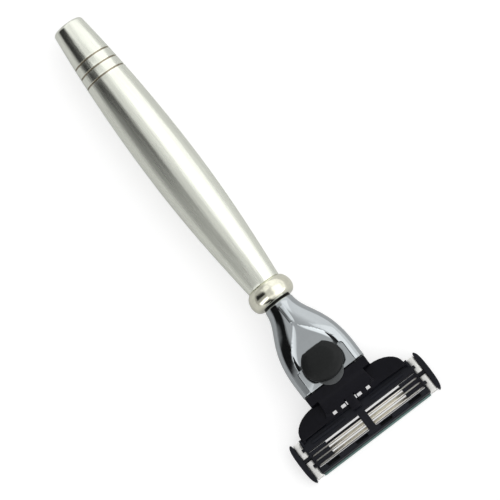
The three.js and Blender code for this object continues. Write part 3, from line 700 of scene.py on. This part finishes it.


# springs, each a copy of its node with a mesh of its own

springs = {      # travel in mm, and which end stays still: 0 by the cartridge, 1 by the butt
    "return_spring_left": {"joint": "button_press", "travel": 3, "fixedEnd": 0},
    "return_spring_right": {"joint": "button_press", "travel": 3, "fixedEnd": 0},
    "plunger_spring": {"joint": "plunger_slide", "travel": 1.4, "fixedEnd": 1},
}
for node, spring in springs.items():
    coil = copyOf(node, node.title().replace("_", ""))
    done(coil, node, finishes["steel"], 50)
    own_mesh(coil)
print("springs made")


# nodes that stay as they are

kept = {
    "threaded_insert": "brass", "joining_stud": "steel", "plunger_guide": "greyPlastic",
    "ejector_plate": "greyPlastic",
}
for node, coat in kept.items():
    for spot in frame["nodes"][node].material_slots:
        spot.material = finishes[coat]
print("nodes kept as they are:", len(kept))


# floor, light and camera

floorLook = {"size": 6, "colour": (0.5, 0.5, 0.5), "rough": 0.7, "glow": 0.14, "seenGlow": 0.48}
clear()
bpy.ops.mesh.primitive_plane_add(size=floorLook["size"])
floor = started("floor")
floorFinish = finish("paleFloor", floorLook["colour"], floorLook["rough"], tint=0.01, size=30,
                     bump=0.0, patch=4)
floorShader = floorFinish.node_tree.nodes["Principled BSDF"]
floorShader.inputs["Emission Color"].default_value = (1, 1, 1, 1)
floor.data.materials.append(floorFinish)
floorTree = floorFinish.node_tree
floorRays = floorTree.nodes.new("ShaderNodeLightPath")
floorGlow = floorTree.nodes.new("ShaderNodeMath")
floorGlow.operation = "MULTIPLY_ADD"
floorGlow.inputs[1].default_value = floorLook["seenGlow"]
floorGlow.inputs[2].default_value = floorLook["glow"]
floorTree.links.new(floorRays.outputs["Is Camera Ray"], floorGlow.inputs[0])
floorTree.links.new(floorGlow.outputs["Value"], floorShader.inputs["Emission Strength"])
floor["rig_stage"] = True

# angles are in degrees round the handle: 0 is straight up and 90 is towards +x
studio = {
    "rightSide": 1.14, "above": 0.66, "leftSide": 0.45,
    "shadeFrom": -78, "shadeTo": -20, "soft": 5, "seen": 1.0,
    "rightFrom": 20, "rightSoft": 16, "brightest": 2,
    # pairs of lean and level: lean goes from -1, the cartridge's side, to 1, the butt's
    "shadeAlong": ((-0.8, 0.012), (-0.6, 0.3), (-0.48, 1.7), (-0.28, 1.7), (-0.12, 0.36),
                   (0.155, 0.36), (0.19, 0.012), (0.5, 0.012), (0.7, 0.5)),
    "frontAlong": ((-0.9, 1.0), (-0.75, 1.6), (-0.55, 1.6), (-0.4, 1.0)),
}
world = bpy.data.worlds.new("studio")
bpy.context.scene.world = world
world.use_nodes = True
tree = world.node_tree
background = tree.nodes["Background"]
direction = tree.nodes.new("ShaderNodeTexCoord")
split = tree.nodes.new("ShaderNodeSeparateXYZ")
turn = tree.nodes.new("ShaderNodeMath")
turn.operation = "ARCTAN2"
tree.links.new(direction.outputs["Generated"], split.inputs["Vector"])
tree.links.new(split.outputs["X"], turn.inputs[0])
tree.links.new(split.outputs["Z"], turn.inputs[1])


def step(angle, soft, low, high):
    node = tree.nodes.new("ShaderNodeMapRange")
    node.interpolation_type = "SMOOTHSTEP"
    node.inputs["From Min"].default_value = radians(angle - soft)
    node.inputs["From Max"].default_value = radians(angle + soft)
    node.inputs["To Min"].default_value = low
    node.inputs["To Max"].default_value = high
    tree.links.new(turn.outputs["Value"], node.inputs["Value"])
    return node.outputs["Result"]


def combine(operation, a, b):
    node = tree.nodes.new("ShaderNodeMath")
    node.operation = operation
    tree.links.new(a, node.inputs[0])
    tree.links.new(b, node.inputs[1])
    return node.outputs["Value"]


def along(stops):
    # a level that changes with how far a direction leans along the handle
    most = studio["brightest"]
    share = tree.nodes.new("ShaderNodeMapRange")
    share.inputs["From Min"].default_value = -1
    ramp = tree.nodes.new("ShaderNodeValToRGB")
    while len(ramp.color_ramp.elements) < len(stops):
        ramp.color_ramp.elements.new(0.5)
    for element, (lean, value) in zip(ramp.color_ramp.elements, stops):
        element.position = (lean + 1) / 2
        element.color = (value / most, value / most, value / most, 1)
    tree.links.new(split.outputs["Y"], share.inputs["Value"])
    tree.links.new(share.outputs["Result"], ramp.inputs["Fac"])
    scaled = tree.nodes.new("ShaderNodeMath")
    scaled.operation = "MULTIPLY"
    scaled.inputs[1].default_value = most
    tree.links.new(ramp.outputs["Color"], scaled.inputs[0])
    return scaled.outputs["Value"]


leftPart = step(studio["shadeFrom"], studio["soft"], studio["leftSide"], 0)
inShade = combine("MULTIPLY", step(studio["shadeFrom"], studio["soft"], 0, 1),
                  step(studio["shadeTo"], studio["soft"], 1, 0))
shadePart = combine("MULTIPLY", inShade, along(studio["shadeAlong"]))
topPart = step(studio["shadeTo"], studio["soft"], 0, studio["above"])
rightPart = step(studio["rightFrom"], studio["rightSoft"], 0,
                 studio["rightSide"] - studio["above"])
level = leftPart
for part in (shadePart, topPart, rightPart):
    level = combine("ADD", level, part)
level = combine("MULTIPLY", level, along(studio["frontAlong"]))
path = tree.nodes.new("ShaderNodeLightPath")
mixed = tree.nodes.new("ShaderNodeMix")
mixed.data_type = "FLOAT"
tree.links.new(path.outputs["Is Camera Ray"], mixed.inputs["Factor"])
tree.links.new(level, mixed.inputs["A"])
mixed.inputs["B"].default_value = studio["seen"]
tree.links.new(mixed.outputs["Result"], background.inputs["Strength"])
background.inputs["Color"].default_value = (1, 1, 1, 1)

lamps = {
    "keyLamp": {"at": (0.42, -0.08, 0.5), "size": 0.6, "power": 0.4},
    "fillLamp": {"at": (-0.1, 0.55, 0.6), "size": 0.5, "power": 0.3},
}
for name, lamp in lamps.items():
    data = bpy.data.lights.new(name, "AREA")
    data.size = lamp["size"]
    data.energy = lamp["power"]
    lampObject = bpy.data.objects.new(name, data)
    bpy.context.scene.collection.objects.link(lampObject)
    lampObject.location = lamp["at"]
    lampObject.rotation_euler = Vector(lamp["at"]).to_track_quat("Z", "Y").to_euler()

# tilt and roll in degrees, span and aim in mm
view = {"tilt": 8.5, "roll": 37.3, "lens": 300, "span": 129.5, "aim": (2.6, -9.1, 7.0)}
tilt, roll = radians(view["tilt"]), radians(view["roll"])
back = Vector((0, -sin(tilt), cos(tilt)))
sideways = Vector((1, 0, 0))
upright = Vector((0, cos(tilt), sin(tilt)))
right = sideways * cos(roll) - upright * sin(roll)
up = sideways * sin(roll) + upright * cos(roll)
camera = bpy.data.cameras.new("camera")
camera.lens = view["lens"]
distance = view["span"] * mm / 2 / (camera.sensor_width / 2 / camera.lens)
cameraObject = bpy.data.objects.new("camera", camera)
bpy.context.scene.collection.objects.link(cameraObject)
turned = Matrix((right, up, back)).transposed().to_4x4()
turned.translation = Vector(view["aim"]) * mm + back * distance
cameraObject.matrix_world = turned
camera.clip_start = 0.01
camera.clip_end = 20
bpy.context.scene.camera = cameraObject
bpy.context.scene.view_settings.view_transform = "Standard"
print("floor, light and camera set")

low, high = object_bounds()
